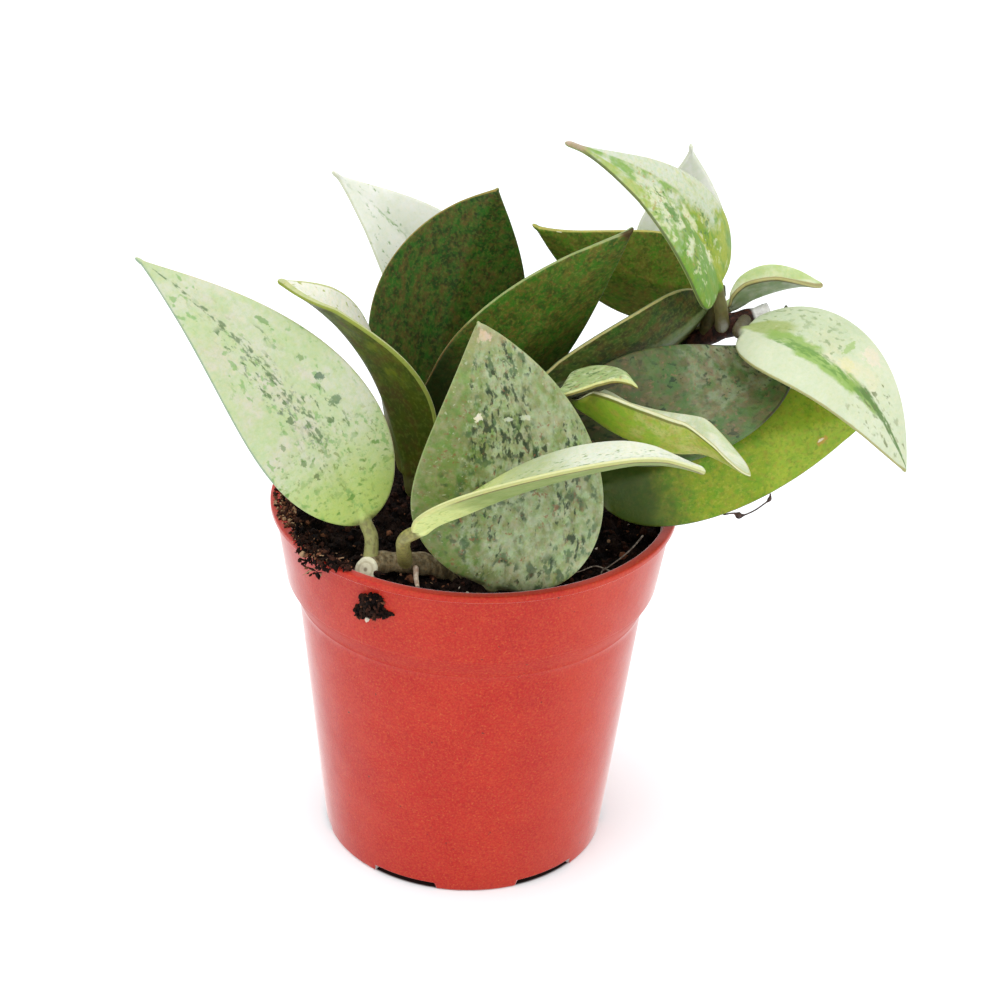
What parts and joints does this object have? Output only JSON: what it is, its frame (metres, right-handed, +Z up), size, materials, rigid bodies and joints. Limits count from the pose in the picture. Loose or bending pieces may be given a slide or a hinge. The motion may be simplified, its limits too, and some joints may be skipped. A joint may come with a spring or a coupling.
{
  "type": "potted hoya plant",
  "caption": "Small potted hoya: rooted cuttings with thick pointed, channelled, silver-flecked leaves in a round thin-walled nursery pot filled with dark peat.",
  "frame": {"origin": "centre of the pot's foot, on the surface that the pot stands on", "axes": "+Z up, the pot's axis; -Y towards the front of the plant; +X to the right seen from the front"},
  "size_m": [0.1083, 0.0702, 0.1129],
  "materials": {
    "terracotta_plastic": "satin",
    "peat": "matte",
    "stem": "matte",
    "leaf": "satin"
  },
  "bodies": {
    "root": {"pot": "terracotta_plastic", "soil": "peat", "soil_clump": "peat", "stem_front": "stem", "stem_centre": "stem", "stem_right": "stem", "stem_middle": "stem", "leaf_01_front_left": "leaf", "leaf_02_left_back": "leaf", "leaf_03_back": "leaf", "leaf_04_centre": "leaf", "leaf_05_centre_right": "leaf", "leaf_06_back_right": "leaf", "leaf_07_front": "leaf", "leaf_08_front_arch": "leaf", "leaf_09_right_arch": "leaf", "leaf_10_small_arch": "leaf", "leaf_11_long_dark": "leaf", "leaf_12_shaded": "leaf", "leaf_13_low_right": "leaf", "leaf_14_far_right": "leaf", "leaf_15_right_arch": "leaf", "leaf_16_splashed": "leaf", "leaf_17_far_back": "leaf"}
  },
  "joints": []
}
